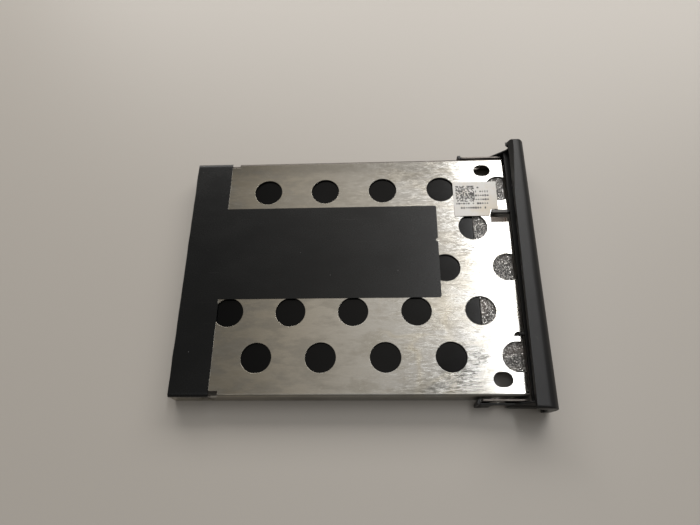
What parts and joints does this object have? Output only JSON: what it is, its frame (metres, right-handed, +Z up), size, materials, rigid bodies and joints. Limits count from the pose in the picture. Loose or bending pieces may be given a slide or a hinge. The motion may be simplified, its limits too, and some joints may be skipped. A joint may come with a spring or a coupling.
{
  "type": "laptop drive caddy",
  "caption": "Folded steel tray for a 2.5-inch laptop drive, with punched plate, film and a clipped-on moulded bezel.",
  "frame": {"origin": "centre of the footprint, on the surface that the caddy lies on, plate up and open side down", "axes": "+X from the tray's open end towards the bezel, +Y across the tray, +Z up through the plate"},
  "size_m": [0.0996, 0.079, 0.0112],
  "materials": {
    "tray": "brushed",
    "bezel": "fine matt texture",
    "outer_film": "satin",
    "inner_film": "satin",
    "foam_strip": "speckled",
    "label": "satin"
  },
  "bodies": {
    "root": {"tray": "tray", "bezel": "bezel", "outer_film": "outer_film", "inner_film": "inner_film", "foam_strip": "foam_strip", "label": "label"}
  },
  "joints": []
}
